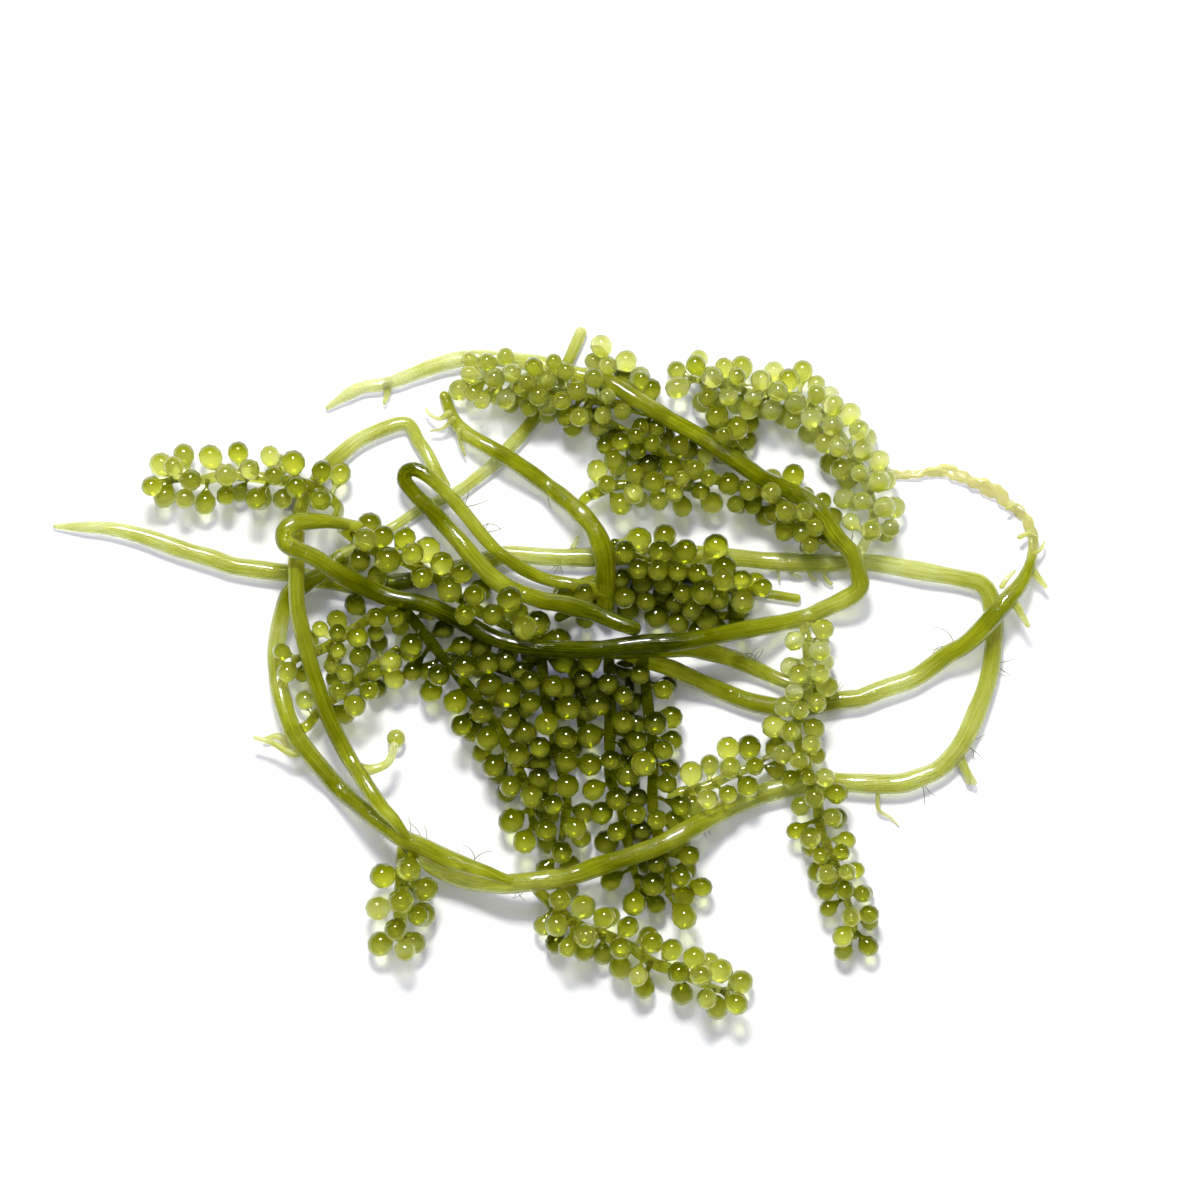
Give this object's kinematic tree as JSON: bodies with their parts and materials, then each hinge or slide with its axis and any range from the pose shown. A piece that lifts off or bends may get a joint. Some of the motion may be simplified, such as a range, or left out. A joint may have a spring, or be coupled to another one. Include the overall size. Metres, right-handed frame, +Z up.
{
  "type": "sea grapes",
  "caption": "Loose tangle of fresh sea grapes: round green runners looping over each other, with thin fronds set all round with small stalked berries",
  "frame": {"origin": "middle of the tangle's outline seen from above, on the surface that it lies on", "axes": "+X runs along the long side of the tangle, to the right in the picture, +Y across it, to the top of the picture, and +Z up from the surface"},
  "size_m": [0.109, 0.0744, 0.0086],
  "materials": {
    "runner_flesh": "wet, smooth, slightly see-through green seaweed flesh with fine lengthwise ribs",
    "runner_pale": "wet pale green seaweed flesh",
    "frond_deep": "wet olive green berries and stems, lighter where light passes through",
    "frond_flesh": "wet green berries and stems, lighter where light passes through",
    "frond_pale": "wet pale green berries and stems, lighter where light passes through"
  },
  "bodies": {
    "root": {"runner_outer_loop": "runner_flesh", "runner_left_loop": "runner_flesh", "runner_left_upright": "runner_flesh", "runner_right_arm": "runner_flesh", "runner_short_right": "runner_flesh", "runner_under_middle": "runner_flesh", "runner_hook": "runner_flesh", "runner_long_top": "runner_flesh", "runner_folded": "runner_flesh", "runner_crossing": "runner_pale", "frond_heart_1": "frond_deep", "frond_heart_2": "frond_deep", "frond_heart_3": "frond_deep", "frond_heart_4": "frond_deep", "frond_left_inner_1": "frond_deep", "frond_left_inner_2": "frond_deep", "frond_right_middle": "frond_deep", "frond_centre_left": "frond_deep", "frond_lower_left": "frond_flesh", "frond_bottom": "frond_flesh", "frond_under_arm": "frond_flesh", "frond_long_strand": "frond_flesh", "frond_top_inner": "frond_flesh", "frond_top_right": "frond_flesh", "frond_right_lower": "frond_flesh", "frond_below_hook": "frond_pale", "frond_upper_middle": "frond_pale", "frond_left": "frond_pale"}
  },
  "joints": []
}
